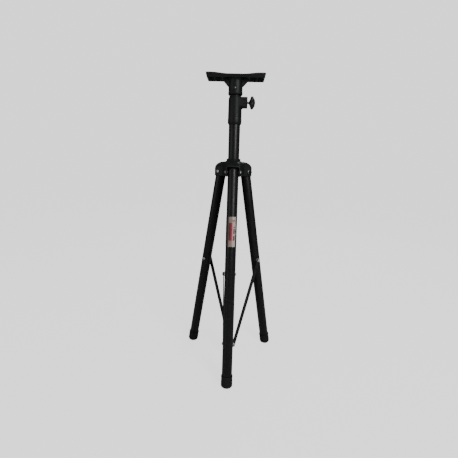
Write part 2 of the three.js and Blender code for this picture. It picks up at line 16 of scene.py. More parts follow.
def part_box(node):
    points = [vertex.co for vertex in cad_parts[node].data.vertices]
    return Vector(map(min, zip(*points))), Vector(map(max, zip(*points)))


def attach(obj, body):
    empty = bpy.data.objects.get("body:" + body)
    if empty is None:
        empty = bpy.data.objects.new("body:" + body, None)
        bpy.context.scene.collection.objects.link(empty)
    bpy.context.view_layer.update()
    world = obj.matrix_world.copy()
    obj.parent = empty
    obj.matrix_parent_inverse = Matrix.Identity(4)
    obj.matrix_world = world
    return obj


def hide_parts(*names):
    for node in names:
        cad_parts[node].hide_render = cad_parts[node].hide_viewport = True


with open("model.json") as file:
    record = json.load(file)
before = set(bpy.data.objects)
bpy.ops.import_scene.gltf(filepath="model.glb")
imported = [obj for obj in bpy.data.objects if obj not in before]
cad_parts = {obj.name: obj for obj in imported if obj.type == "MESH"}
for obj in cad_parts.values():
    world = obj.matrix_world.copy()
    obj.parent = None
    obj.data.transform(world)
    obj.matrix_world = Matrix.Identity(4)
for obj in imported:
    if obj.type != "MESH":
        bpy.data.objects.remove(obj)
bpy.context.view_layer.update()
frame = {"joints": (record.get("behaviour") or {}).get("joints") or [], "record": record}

MM = 0.001
SIDES = 96  # round the big tubes
FINE = 48  # round bolts and screws, a multiple of six
EDGE = 0.5  # usual rounding of a moulded edge
ARC = 5  # steps round a rounded corner

LEG_NAMES = ("front", "right", "left")

# tubes
TUBE_WALL = 1.2
LEG_R = 17.5
LEG_WALL = 1.5
POLE_WALL = 1.5
LEG_TOP = 6.0  # the leg tube over its pivot
LEG_END_RISE = 8.0  # the leg tube's end over the floor, along the leg
BRACE_DOWN_LEG = 339.0  # from a leg's pivot to its brace's bolt
BRACE_HALF = 6.95
BRACE_THICK = 3.0
BRACE_INNER = 19.4  # the brace's near face, out from the leg's middle

# printed film, up the front leg from its pivot and round it from straight outward
LABEL_SPAN = (-246.0, -147.0)
LABEL_WRAP = (-85.0, 50.0)
LABEL_R = (17.8, 18.08)

# studio
BACKDROP = 1.5
ROOM_LIGHT = 0.13
FLOOR_GLOW = 1.43

# fasteners
BOLT = 3.0
HEAD_R = 5.5
HEAD_H = 3.5
SCREW = 3.9
THREAD_PITCH = 1.25

# hub
NECK_R = 24.0
CORE_R = 37.6
CLEVIS_HALF = 23.2
CLEVIS_REACH = 13.2  # past the leg's pivot
SLOT_HALF = 19.0
SWING_R = 20.0  # room for the end of a leg as it turns
TUBE_HOLE_R = 19.35

# clamp and platform
SLEEVE_R = 23.0
POLE_HOLE_R = 17.85
LOCK_BORE = 4.3  # clear of the lock screws
LOCK_POCKET = 7.7  # corner of the trapped nut's pocket
COLLAR_R = 23.5
PLATE_THICK = 10.0
LIP_START, LIP_END = 22, 80  # where the plate's rise starts and ends, out from its middle
GUSSET = 20.5
GUSSET_APART = 9.0  # each gusset's middle from the plate's centre line
RIB_HALF = 1.6
RIB_START = 12  # ribs start inside the wall they stand on
POCKET_DEEP = 3.2


# ---- places read from the frame


def box_mm(node):
    """Lowest and highest corners of a CAD node in millimetres."""
    low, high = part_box(node)
    return np.array(low) / MM, np.array(high) / MM


def mid_z(node):
    """Height of the middle of a CAD node in millimetres."""
    low, high = box_mm(node)
    return (low[2] + high[2]) / 2


joints = {j["name"]: j for j in frame["joints"]}
mounts = {m["name"]: m for m in frame["record"]["mounts"]}
axis_xy = np.array(joints["head_swivel"]["pos_m"])[:2]


def frame_matrix(origin, x_axis, y_axis, z_axis):
    """Matrix from a frame in millimetres to the row frame in metres."""
    m = np.eye(4)
    for i, axis in enumerate((x_axis, y_axis, z_axis)):
        m[:3, i] = np.array(axis) * MM
    m[:3, 3] = origin
    return m


UP = np.array([0.0, 0.0, 1.0])
stand_at = frame_matrix([*axis_xy, 0.0], [1, 0, 0], [0, 1, 0], UP)
arm_at, leg_at, brace_at, brace_length, leg_length = {}, {}, {}, {}, {}
for leg in LEG_NAMES:
    pivot = np.array(joints[f"leg_{leg}_fold"]["pos_m"])
    foot = np.array(mounts[f"foot_{leg}"]["pos_m"])
    brace_foot = np.array(joints[f"brace_{leg}_fold"]["pos_m"])
    outward = np.array([*(pivot[:2] - axis_xy), 0.0])
    outward /= np.linalg.norm(outward)
    round_tube = np.cross(UP, outward)
    up_leg = (pivot - foot) / np.linalg.norm(pivot - foot)
    brace_top = pivot - up_leg * BRACE_DOWN_LEG * MM
    up_brace = brace_top - brace_foot
    brace_length[leg] = np.linalg.norm(up_brace) / MM
    leg_length[leg] = np.linalg.norm(pivot - foot) / MM
    up_brace /= np.linalg.norm(up_brace)
    arm_at[leg] = frame_matrix(pivot, outward, round_tube, UP)
    leg_at[leg] = frame_matrix(pivot, np.cross(round_tube, up_leg), round_tube, up_leg)
    brace_at[leg] = frame_matrix(brace_foot, np.cross(round_tube, up_brace), round_tube, up_brace)
pivot_r = np.linalg.norm(np.array(joints["leg_front_fold"]["pos_m"])[:2] - axis_xy) / MM
pivot_z = joints["leg_front_fold"]["pos_m"][2] / MM
headings = {leg: math.atan2(arm_at[leg][1, 0], arm_at[leg][0, 0]) for leg in LEG_NAMES}


# ---- surfaces on grids


def rounded_path(points, radius=EDGE, steps=ARC, closed=False):
    """A broken line with each corner replaced by an arc.

    At a corner with half angle h between its two sides, the arc starts radius / tan(h) from the
    corner (at most 0.45 of the shorter side) and its centre lies on the bisector. radius is one
    number, or one per point, and 0 leaves a corner sharp.
    """
    pts = [np.array(p, float) for p in points]
    radii = [radius] * len(pts) if np.isscalar(radius) else list(radius)
    out = []
    for i, corner in enumerate(pts):
        ends = not closed and i in (0, len(pts) - 1)
        if ends or radii[i] <= 0:
            out.append(corner)
            continue
        u, v = pts[i - 1] - corner, pts[(i + 1) % len(pts)] - corner
        lu, lv = np.linalg.norm(u), np.linalg.norm(v)
        u, v = u / lu, v / lv
        half = math.acos(float(np.clip(u @ v, -1, 1))) / 2
        if half > math.radians(88):
            out.append(corner)
            continue
        reach = min(radii[i] / math.tan(half), 0.45 * min(lu, lv))
        r = reach * math.tan(half)
        centre = corner + (u + v) / np.linalg.norm(u + v) * r / math.sin(half)
        start, end = corner + u * reach - centre, corner + v * reach - centre
        sweep = math.pi - 2 * half
        t = np.linspace(0, 1, steps + 1)[:, None]
        arc = (np.sin((1 - t) * sweep) * start + np.sin(t * sweep) * end) / math.sin(sweep)
        out.extend(centre + arc)
    return np.array(out)


def skin(rings, ends="cap"):
    """Faces over rings of points: (m, n, 3) gives a grid of m rings of n points each.

    ends: 'cap' closes the first and last ring with a flat face, 'join' closes the last ring on
    the first, and 'pole' says that the first and last rings are single points.
    """
    m, n = rings.shape[:2]
    verts = rings.reshape(-1, 3)
    i, j = np.meshgrid(np.arange(m - 1), np.arange(n), indexing="ij")
    k = (j + 1) % n
    quads = np.stack([i * n + j, i * n + k, (i + 1) * n + k, (i + 1) * n + j], -1).reshape(-1, 4)
    faces = quads.tolist()
    if ends == "cap":
        faces.append(list(range(n))[::-1])
        faces.append(list(range((m - 1) * n, m * n)))
    elif ends == "join":
        a, b = (m - 1) * n + np.arange(n), np.arange(n)
        faces += np.stack([a, np.roll(a, -1), np.roll(b, -1), b], -1).tolist()
    elif ends == "pole":
        inner = rings[1:-1].reshape(-1, 3)
        verts = np.vstack([rings[0, :1], inner, rings[-1, :1]])
        body = quads[n:-n] - n + 1
        first, last = 1 + np.arange(n), 1 + (m - 3) * n + np.arange(n)
        top = len(verts) - 1
        faces = body.tolist()
        faces += np.stack([np.zeros_like(first), np.roll(first, -1), first], -1).tolist()
        faces += np.stack([last, np.roll(last, -1), np.full_like(last, top)], -1).tolist()
    return verts, faces


def lathe(profile, sides=SIDES, waves=None):
    """A profile of [radius, z] points turned about z; x = r cos t, y = r sin t.

    The profile goes up its outside. It starts and ends on the axis, or closes on itself. waves,
    a function of (t, index, r), returns the radius of ring number index at each angle t.
    """
    p = np.asarray(profile, float)
    t = 2 * np.pi * np.arange(sides) / sides
    radius = np.repeat(p[:, :1], sides, 1)
    if waves is not None:
        radius = waves(t[None, :], np.arange(len(p))[:, None], radius)
    rings = np.stack([radius * np.cos(t), radius * np.sin(t), np.repeat(p[:, 1:], sides, 1)], -1)
    on_axis = p[0, 0] < 1e-9 and p[-1, 0] < 1e-9
    return skin(rings, "pole" if on_axis else "join")


def tube(outer, inner, z0, z1, edge=0.4, sides=SIDES):
    """A round tube with rounded rims."""
    corners = [[inner, z0], [outer, z0], [outer, z1], [inner, z1]]
    return lathe(rounded_path(corners, edge, 3, closed=True), sides)


def rod(radius, z0, z1, sides=FINE):
    """A plain round rod, or a prism when sides is small."""
    return lathe([[0, z0], [radius, z0], [radius, z1], [0, z1]], sides)


def inset(outline, distance):
    """A closed outline moved inwards: each corner goes distance along its mitre."""
    p = np.asarray(outline, float)
    e = np.roll(p, -1, 0) - p
    e /= np.linalg.norm(e, axis=1)[:, None]
    normal = np.stack([e[:, 1], -e[:, 0]], 1)
    before = np.roll(normal, 1, 0)
    mitre = (normal + before) / (1 + (normal * before).sum(1))[:, None]
    return p - mitre * distance


def slab(outline, z0, z1, edge=EDGE, steps=3):
    """An outline pushed from z0 to z1, with its two rims rounded by a quarter circle."""
    a = np.linspace(0, math.pi / 2, steps + 1)
    levels = [(edge * (1 - math.sin(x)), z0 + edge * (1 - math.cos(x))) for x in a]
    levels += [(edge * (1 - math.sin(x)), z1 - edge * (1 - math.cos(x))) for x in a[::-1]]
    rings = []
    for shrink, z in levels:
        flat = inset(outline, shrink) if shrink > 1e-9 else np.asarray(outline, float)
        rings.append(np.column_stack([flat, np.full(len(flat), z)]))
    return skin(np.array(rings), "cap")


def block(x0, x1, y0, y1, z0, z1, edge=0.0):
    """A box, with its upright corners rounded when edge is given."""
    corners = [[x0, y0], [x1, y0], [x1, y1], [x0, y1]]
    outline = rounded_path(corners, edge, ARC, closed=True) if edge else np.array(corners, float)
    rings = [np.column_stack([outline, np.full(len(outline), z)]) for z in (z0, z1)]
    return skin(np.array(rings), "cap")


TURNS = {
    "z": np.eye(3),
    "+x": np.array([[0, 0, 1], [0, 1, 0], [-1, 0, 0]], float),  # z goes to +x
    "+y": np.array([[1, 0, 0], [0, 0, 1], [0, -1, 0]], float),  # z goes to +y
    "-y": np.array([[1, 0, 0], [0, 0, -1], [0, 1, 0]], float),  # z goes to -y
    "face": np.array([[1, 0, 0], [0, 0, -1], [0, 1, 0]], float),  # an (x, z) outline stood up
}


def turn(shape, way="z", move=(0, 0, 0), about_z=0.0):
    """A shape turned by one of TURNS, moved, then turned by an angle about z."""
    verts, faces = shape
    c, s = math.cos(about_z), math.sin(about_z)
    spin = np.array([[c, -s, 0], [s, c, 0], [0, 0, 1]])
    return (verts @ TURNS[way].T + np.array(move, float)) @ spin.T, faces


# ---- meshes and pieces


def build_mesh(name, shape):
    """A mesh from a shape: an array of points and a list of faces."""
    verts, faces = shape
    mesh = bpy.data.meshes.new(name)
    mesh.from_pydata(verts.tolist(), [], faces)
    mesh.update()
    return mesh


def finish_piece(name, mesh, matrix, body, slot, nodes, crease=32.0, material=None):
    """Puts a mesh in place in the row frame and makes it a piece of the stand."""
    mesh.transform(Matrix(matrix.tolist()))
    mesh.shade_smooth()
    if crease:
        mesh.set_sharp_from_angle(angle=math.radians(crease))
    mesh.materials.clear()
    mesh.materials.append(material or finishes[slot])
    obj = bpy.data.objects.new(name, mesh)
    bpy.context.scene.collection.objects.link(obj)
    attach(obj, body)
    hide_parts(*nodes)


def add(name, shape, matrix, body, slot, node):
    """A shape as the piece that stands in for one CAD node."""
    finish_piece(name, build_mesh(name, shape), matrix, body, slot, [node])


def evaluated(obj):
    """The mesh of an object with its modifiers applied; the object is removed."""
    bpy.context.view_layer.update()
    graph = bpy.context.evaluated_depsgraph_get()
    mesh = bpy.data.meshes.new_from_object(obj.evaluated_get(graph), depsgraph=graph)
    bpy.data.objects.remove(obj)
    return mesh


def temporary(mesh):
    """A working object for modifiers to act on."""
    obj = bpy.data.objects.new("working", mesh)
    bpy.context.scene.collection.objects.link(obj)
    return obj


def cut(solids, cutters):
    """The mesh of each solid less all the cutters."""
    tools = [temporary(build_mesh("tool", cutter)) for cutter in cutters]
    meshes = []
    for solid in solids:
        obj = temporary(build_mesh("solid", solid))
        for tool in tools:
            knife = obj.modifiers.new("cut", "BOOLEAN")
            knife.operation = "DIFFERENCE"
            knife.solver = "EXACT"
            knife.object = tool
        meshes.append(evaluated(obj))
    for tool in tools:
        bpy.data.objects.remove(tool)
    return meshes


def carved(solids, cutters, cell, rounds, keep):
    """One moulded mesh: the solids less the cutters, joined on a grid of cells and smoothed.

    The smoothing rounds every edge by about the cell times the square root of rounds, and keep
    is the share of the grid's triangles that is left where the surface is plain.
    """
    joined = bmesh.new()
    for mesh in cut(solids, cutters):
        joined.from_mesh(mesh)
    together = bpy.data.meshes.new("together")
    joined.to_mesh(together)
    joined.free()
    whole = temporary(together)
    grid = whole.modifiers.new("grid", "REMESH")
    grid.mode = "VOXEL"
    grid.voxel_size = cell
    soften = whole.modifiers.new("soften", "SMOOTH")
    soften.factor = 0.5
    soften.iterations = rounds
    thin = whole.modifiers.new("thin", "DECIMATE")
    thin.ratio = keep
    return evaluated(whole)


# ---- shader node groups


def fill(tree, node, inputs):
    """Links or sets each named input of a node."""
    for key, value in inputs.items():
        if isinstance(value, bpy.types.NodeSocket):
            tree.links.new(value, node.inputs[key])
        else:
            node.inputs[key].default_value = value
    return node


def wire(tree, kind, inputs=None, **settings):
    """A new node with its settings, and its inputs linked or set."""
    node = tree.nodes.new(kind)
    for key, value in settings.items():
        setattr(node, key, value)
    return fill(tree, node, inputs or {})


def use_group(tree, group, inputs):
    """A node that uses a shader node group."""
    node = tree.nodes.new("ShaderNodeGroup")
    node.node_tree = group
    return fill(tree, node, inputs)


def noise(tree, place, scale, detail, **more):
    """Factor of a noise texture."""
    inputs = {"Vector": place, "Scale": scale, "Detail": detail, **more}
    return wire(tree, "ShaderNodeTexNoise", inputs).outputs["Fac"]


def remap(tree, value, start, end, to_start=0.0, to_end=1.0):
    """The value's place between start and end, from to_start to to_end."""
    inputs = {"Value": value, "From Min": start, "From Max": end, "To Min": to_start, "To Max": to_end}
    return wire(tree, "ShaderNodeMapRange", inputs).outputs[0]


def maths(tree, operation, a, b, **settings):
    """The result of one sum or product of two values."""
    return wire(tree, "ShaderNodeMath", {0: a, 1: b}, operation=operation, **settings).outputs[0]


def paint(tree, under, over, mask):
    """One colour over another where the mask is 1."""
    return wire(tree, "ShaderNodeMix", {"Factor": mask, 6: under, 7: over}, data_type="RGBA").outputs[2]


def new_group(name, ins, outs):
    """A shader node group with its named sockets, and its two end nodes."""
    group = bpy.data.node_groups.new(name, "ShaderNodeTree")
    for label, kind, value in ins:
        socket = group.interface.new_socket(name=label, in_out="INPUT", socket_type=kind)
        if value is not None:
            socket.default_value = value
    for label, kind in outs:
        group.interface.new_socket(name=label, in_out="OUTPUT", socket_type=kind)
    return group, group.nodes.new("NodeGroupInput"), group.nodes.new("NodeGroupOutput")


FLOAT, COLOR, VECTOR = "NodeSocketFloat", "NodeSocketColor", "NodeSocketVector"


def make_grain_group():
    """A fine moulded or sprayed grain: two scales of noise added and turned into a bumped normal."""
    group, given, out = new_group(
        "fine_grain",
        [("Vector", VECTOR, None), ("Scale", FLOAT, 900.0), ("Coarse Scale", FLOAT, 120.0),
         ("Strength", FLOAT, 0.15), ("Distance", FLOAT, 0.0004)],
        [("Normal", VECTOR), ("Height", FLOAT)],
    )
    place = given.outputs["Vector"]
    fine = noise(group, place, given.outputs["Scale"], 3.0)
    coarse = noise(group, place, given.outputs["Coarse Scale"], 2.0)
    height = maths(group, "ADD", fine, coarse)
    bump = wire(group, "ShaderNodeBump",
                {"Strength": given.outputs["Strength"], "Distance": given.outputs["Distance"],
                 "Height": height})
    fill(group, out, {"Normal": bump.outputs["Normal"], "Height": height})
    return group


def make_mix_group(name, second, amount, scale, extra, pattern):
    """A group that mixes a second colour in where a pattern says, and gives the mask too."""
    group, given, out = new_group(
        name,
        [("Vector", VECTOR, None), ("Color", COLOR, (0, 0, 0, 1)), (second, COLOR, (1, 1, 1, 1)),
         ("Amount", FLOAT, amount), *extra, ("Scale", FLOAT, scale)],
        [("Color", COLOR), ("Mask", FLOAT)],
    )
    mask = maths(group, "MULTIPLY", pattern(group, given.outputs), given.outputs["Amount"], use_clamp=True)
    mixed = paint(group, given.outputs["Color"], given.outputs[second], mask)
    fill(group, out, {"Color": mixed, "Mask": mask})
    return group


def rubbed_edges(group, given):
    """How far the surface is convex, broken up by noise."""
    edge = remap(group, wire(group, "ShaderNodeNewGeometry").outputs["Pointiness"], 0.51, 0.6)
    patchy = noise(group, given["Vector"], given["Scale"], 6.0, Roughness=0.7)
    return maths(group, "MULTIPLY", edge, remap(group, patchy, 0.42, 0.62))


def settled_dust(group, given):
    """How far the surface faces up, with some everywhere, broken up by noise."""
    normal = wire(group, "ShaderNodeNewGeometry").outputs["Normal"]
    parts = wire(group, "ShaderNodeSeparateXYZ", {0: normal})
    up = remap(group, parts.outputs["Z"], 0.1, 1.0, given["Everywhere"])
    cloud = noise(group, given["Vector"], given["Scale"], 8.0, Roughness=0.65)
    return maths(group, "MULTIPLY", up, remap(group, cloud, 0.35, 0.75))


grain_group = make_grain_group()
rub_group = make_mix_group("edge_rub", "Rub Color", 0.5, 60.0, [], rubbed_edges)
dust_group = make_mix_group("settled_dust", "Dust Color", 0.2, 35.0, [("Everywhere", FLOAT, 0.15)],
                            settled_dust)


# ---- finishes


DUST = (0.10, 0.098, 0.09, 1)


def new_material(name):
    """A material, its tree and shader, and its place on the piece in object coordinates."""
    material = bpy.data.materials.new(name)
    material.use_nodes = True
    tree = material.node_tree
    shader = tree.nodes["Principled BSDF"]
    place = wire(tree, "ShaderNodeTexCoord").outputs["Object"]
    return material, tree, shader, place


def add_grain(tree, shader, place, scale, coarse, strength, distance):
    """Gives a shader the grain group's bumped normal."""
    grain = use_group(tree, grain_group, {"Vector": place, "Scale": scale, "Coarse Scale": coarse,
                                          "Strength": strength, "Distance": distance})
    tree.links.new(grain.outputs["Normal"], shader.inputs["Normal"])


def add_dust(tree, place, colour, dust, amount, everywhere, scale):
    """The dust group over a colour."""
    return use_group(tree, dust_group, {"Vector": place, "Color": colour, "Dust Color": dust,
                                        "Amount": amount, "Everywhere": everywhere, "Scale": scale})


def aged_coat(name, colour, rub, dust, roughness, spread, grain):
    """A coat with rubbed edges, dust and grain; noise varies its roughness and dust raises it.

    rub holds a colour, an amount and a scale; dust holds a colour, an amount, how much lies
    everywhere and a scale; grain holds a scale, a coarse scale, a strength and a distance.
    """
    material, tree, shader, place = new_material(name)
    rubbed = use_group(tree, rub_group, {"Vector": place, "Color": colour, "Rub Color": rub[0],
                                         "Amount": rub[1], "Scale": rub[2]})
    dusty = add_dust(tree, place, rubbed.outputs["Color"], *dust)
    varied = remap(tree, noise(tree, place, 18.0, 5.0), 0.3, 0.7, roughness - spread, roughness + spread)
    rough = maths(tree, "ADD", dusty.outputs["Mask"], varied, use_clamp=True)
    add_grain(tree, shader, place, *grain)
    fill(tree, shader, {"Base Color": dusty.outputs["Color"], "Roughness": rough})
    return material, shader


def powder_coat():
    """Semi-gloss black powder coat with orange peel, on drawn steel."""
    material, shader = aged_coat("black_powder_coat", (0.0055, 0.006, 0.006, 1),
                                 ((0.10, 0.10, 0.098, 1), 0.45, 160.0), (DUST, 0.06, 0.2, 26.0),
                                 0.38, 0.07, (1400.0, 420.0, 0.22, 0.00025))
    shader.inputs["Specular IOR Level"].default_value = 0.34
    shader.inputs["Coat Weight"].default_value = 0.06
    shader.inputs["Coat Roughness"].default_value = 0.25
    return material


def moulded_nylon(name, colour, roughness, specular):
    """Fine spark-grained black nylon, a little greyer and greener than the coated steel."""
    material, shader = aged_coat(name, colour, ((0.07, 0.075, 0.072, 1), 0.6, 90.0),
                                 (DUST, 0.08, 0.2, 30.0), roughness, 0.08, (2600.0, 700.0, 0.35, 0.0003))
    shader.inputs["Specular IOR Level"].default_value = specular
    return material


def boot_rubber():
    """Soft black rubber with a greyish bloom and floor dust."""
    material, shader = aged_coat("boot_rubber", (0.011, 0.012, 0.012, 1),
                                 ((0.06, 0.06, 0.058, 1), 0.8, 70.0),
                                 ((0.12, 0.115, 0.105, 1), 0.14, 0.35, 45.0),
                                 0.64, 0.08, (1800.0, 350.0, 0.4, 0.00035))
    shader.inputs["Specular IOR Level"].default_value = 0.35
    return material


def tinted(tree, shader, value, ends):
    """The base colour runs between two colours, given as (position, colour)."""
    tint = wire(tree, "ShaderNodeValToRGB", {"Fac": value})
    for element, (position, colour) in zip(tint.color_ramp.elements, ends):
        element.position = position
        element.color = colour
    tree.links.new(tint.outputs["Color"], shader.inputs["Base Color"])


def natural_nylon():
    """Unpigmented nylon: milky, faintly see-through, with slight flow marks."""
    material, tree, shader, place = new_material("natural_nylon")
    flow = noise(tree, place, 60.0, 4.0, Distortion=1.2)
    tinted(tree, shader, flow, ((0.0, (0.36, 0.35, 0.31, 1)), (1.0, (0.46, 0.45, 0.41, 1))))
    add_grain(tree, shader, place, 1500.0, 300.0, 0.12, 0.0002)
    shader.inputs["Roughness"].default_value = 0.42
    shader.inputs["Subsurface Weight"].default_value = 0.15
    shader.inputs["Subsurface Scale"].default_value = 0.002
    return material


def zinc_plate():
    """Bright zinc plate: a blue-grey metal with a faint yellow bloom and dull spots."""
    material, tree, shader, place = new_material("bright_zinc_plate")
    bloom = noise(tree, place, 220.0, 5.0, Roughness=0.6)
    tinted(tree, shader, bloom, ((0.35, (0.62, 0.64, 0.66, 1)), (0.72, (0.82, 0.80, 0.73, 1))))
    tree.links.new(remap(tree, bloom, 0.3, 0.7, 0.34, 0.52), shader.inputs["Roughness"])
    add_grain(tree, shader, place, 3000.0, 900.0, 0.1, 0.00015)
    shader.inputs["Metallic"].default_value = 1.0
    return material


def band(tree, value, low, high, soft=0.012):
    """1 between low and high and 0 outside, with soft edges."""
    up = remap(tree, value, low - soft, low + soft)
    down = remap(tree, value, high - soft, high + soft, 1.0, 0.0)
    return maths(tree, "MULTIPLY", up, down)


def label_print():
    """A satin film: a cream ground, bands of brown, red and pink across it, and plain marks.

    The bands run across the wrap and stop short of its ends. The marks are rows along the wrap,
    each inked or not by a noise of its number. The tan is painted shade on the cream ground. The brown
    and the maroon are the print at the left with painted shade over it, so the wrap darkens towards its left
    side.
    """
    material, tree, shader, place = new_material("label_print")
    uv = wire(tree, "ShaderNodeUVMap", uv_map="wrap").outputs["UV"]
    parts = wire(tree, "ShaderNodeSeparateXYZ", {0: uv})
    across, along = parts.outputs["X"], parts.outputs["Y"]
    # tan is painted shade on the cream; brown and maroon are print darkened by painted shade
    cream, tan, brown = (0.80, 0.72, 0.64, 1), (0.42, 0.32, 0.27, 1), (0.05, 0.02, 0.016, 1)
    maroon, red, pink = (0.17, 0.035, 0.035, 1), (0.42, 0.05, 0.075, 1), (0.85, 0.36, 0.42, 1)
    ink, faded = (0.10, 0.03, 0.04, 1), (0.45, 0.27, 0.22, 1)
    # Painted shade: the tan band darkens the cream towards the left of the wrap, and the brown band darkens
    # it further over the brown-red print at the left
    colour = paint(tree, cream, tan, band(tree, across, 0.4, 0.72, 0.05))
    colour = paint(tree, colour, brown, band(tree, across, -1.0, 0.43, 0.04))
    middle = band(tree, along, 0.21, 0.80)
    # The maroon stripe is the red print darkened by painted shade on its left side
    for stripe, low, high in ((maroon, 0.41, 0.60), (red, 0.57, 0.72), (pink, 0.70, 0.79)):
        colour = paint(tree, colour, stripe, maths(tree, "MULTIPLY", band(tree, across, low, high), middle))
    row = wire(tree, "ShaderNodeMath", {0: maths(tree, "MULTIPLY", along, 30.0)}, operation="FLOOR")
    chance = wire(tree, "ShaderNodeTexWhiteNoise", {"W": row.outputs[0]}, noise_dimensions="1D")
    inked = band(tree, chance.outputs["Value"], 0.42, 2.0)
    marks = maths(tree, "MULTIPLY", inked, band(tree, across, 0.81, 0.93, 0.02))
    colour = paint(tree, colour, ink, maths(tree, "MULTIPLY", marks, middle))
    rule = maths(tree, "MULTIPLY", band(tree, along, 0.835, 0.90, 0.02), band(tree, across, 0.5, 0.95, 0.03))
    colour = paint(tree, colour, faded, rule)
    dusty = add_dust(tree, place, colour, (0.3, 0.28, 0.25, 1), 0.25, 0.5, 60.0)
    rough = remap(tree, noise(tree, place, 90.0, 6.0), 0.3, 0.7, 0.28, 0.5)
    add_grain(tree, shader, place, 500.0, 90.0, 0.12, 0.0002)
    fill(tree, shader, {"Base Color": dusty.outputs["Color"], "Roughness": rough})
    shader.inputs["Coat Weight"].default_value = 0.25
    shader.inputs["Coat Roughness"].default_value = 0.15
    return material


finishes = {
    "black_steel": powder_coat(),
    "black_plastic": moulded_nylon("black_moulded_nylon", (0.0075, 0.0092, 0.0090, 1), 0.50, 0.38),
    "pale_nylon": natural_nylon(),
    "zinc": zinc_plate(),
    "rubber": boot_rubber(),
    "label_film": label_print(),
}
# The knob is the same black nylon as the other moulded parts. Its base colour is lighter as a painted
# highlight, and its surface is smoother and shinier.
knob_finish_with_highlight = moulded_nylon("knob_nylon_painted_highlight", (0.016, 0.020, 0.019, 1), 0.36, 0.55)


# ---- fasteners


def hexagon_radius(t, flat):
    """Radius of a hexagon of that half width across its flats, at angle t."""
    third = np.mod(t, math.pi / 3) - math.pi / 6
    return flat / np.cos(third)


def button_bolt(start, seat, shank=BOLT, head=HEAD_R, height=HEAD_H):
    """A bolt on z: a plain shank, and a domed head with a hexagon socket.

    The dome is an arc from the head's rim to the socket. The socket's rings take the hexagon's
    radius at each angle and its bottom is a shallow cone.
    """
    dome = [[head * math.cos(a), seat + 1.1 + (height - 1.1) * math.sin(a)]
            for a in np.linspace(0, math.radians(68), 9)]
    socket = 1.9
    lip = seat + height - 0.05
    profile = [[0, start], [shank - 0.5, start], [shank, start + 0.5], [shank, seat], [head - 0.25, seat],
               [head, seat + 0.25], *dome, [socket + 0.25, lip], [socket, lip - 0.2],
               [socket, seat + 1.2], [0, seat + 0.8]]
    first = len(profile) - 4

    def waves(t, index, r):
        return np.where((index >= first) & (index < len(profile) - 1), hexagon_radius(t, 1) * r, r)

    return lathe(profile, FINE, waves)


def grub_screw(start, end):
    """A headless screw on z with a hexagon socket in its end."""
    profile = [[0, start], [1.6, start], [2.4, start + 0.7], [2.4, end - 0.35], [2.1, end],
               [1.45, end], [1.3, end - 0.2], [1.3, end - 1.8], [0, end - 2.1]]

    def waves(t, index, r):
        return np.where((index >= 5) & (index <= 7), hexagon_radius(t, 0.92) * r, r)

    return lathe(profile, FINE, waves)


def hex_nut(bore, flat, z0, z1, chamfer=0.7, nylon=0.0):
    """A nut on z: the hexagon's radius, clipped at both faces by a cone, with a round bore."""
    corner = flat / math.cos(math.pi / 6)
    profile = [[bore + 0.4, z0], [flat, z0], [corner, z0 + chamfer], [corner, z1 - chamfer], [flat, z1]]
    if nylon:
        profile += [[flat - 0.7, z1 + 0.05], [flat - 0.9, z1 + nylon - 0.3], [flat - 1.3, z1 + nylon],
                    [bore + 0.2, z1 + nylon]]
    profile += [[bore + 0.4, z1 - 0.05], [bore, z1 - 0.5], [bore, z0 + 0.5]]

    def waves(t, index, r):
        outer = (index >= 1) & (index <= 4)
        return np.where(outer, np.minimum(r, hexagon_radius(t, flat)), r)

    return lathe(profile, FINE, waves)


def threaded_rod(radius, z0, z1, pitch=THREAD_PITCH, plain_tip=2.0):
    """A screw on z whose radius follows a helix: a triangle wave of z / pitch - t / 2 pi."""
    rows = int((z1 - z0) / pitch * 8)
    z = np.linspace(z0, z1, rows)
    t = 2 * np.pi * np.arange(FINE) / FINE
    phase = np.mod(z[:, None] / pitch - t[None, :] / (2 * np.pi), 1.0)
    depth = 0.6 * np.abs(2 * phase - 1) * np.clip((z[:, None] - z0) / plain_tip, 0.0, 1.0)
    r = radius - depth
    rings = np.stack([r * np.cos(t), r * np.sin(t), np.repeat(z[:, None], FINE, 1)], -1)
    low, high = np.zeros((1, FINE, 3)), np.zeros((1, FINE, 3))
    low[..., 2], high[..., 2] = z0, z1
    return skin(np.concatenate([low, rings, high]), "pole")


def lobed_knob(radius, length, hole, lobes=6):
    """A hand knob on z: a conical back, a lobed rim and a domed front with a shallow ring.

    The rim's radius is r (1 - k sin^2(lobes t / 2)) with k greatest where the knob is widest.
    """
    core = [[0, length * 0.5], [hole, length * 0.5], [hole, 0.3], [hole + 0.4, 0], [radius * 0.27, 0],
            [radius * 0.34, length * 0.06], [radius * 0.62, length * 0.2], [radius * 0.86, length * 0.25],
            [radius, length * 0.36], [radius, length * 0.55], [radius * 0.88, length * 0.68],
            [radius * 0.62, length * 0.86], [radius * 0.42, length * 0.94], [radius * 0.36, length * 0.915],
            [radius * 0.32, length * 0.94], [radius * 0.2, length * 0.985], [0, length]]
    profile = rounded_path(core, [0, 0, 0, 0, 0, 1, 2, 2, 3.2, 3.2, 3, 3, 0.6, 0.5, 0.6, 2, 0], 6)
    profile[-1] = [0, length]

    def waves(t, index, r):
        wide = np.clip((r / radius - 0.38) / 0.5, 0, 1)
        wide = wide * wide * (3 - 2 * wide)
        valley = np.sin(lobes * t / 2) ** 2
        return r * (1 - 0.2 * wide * valley ** 1.6)

    return lathe(profile, 144, waves)


# ---- upright


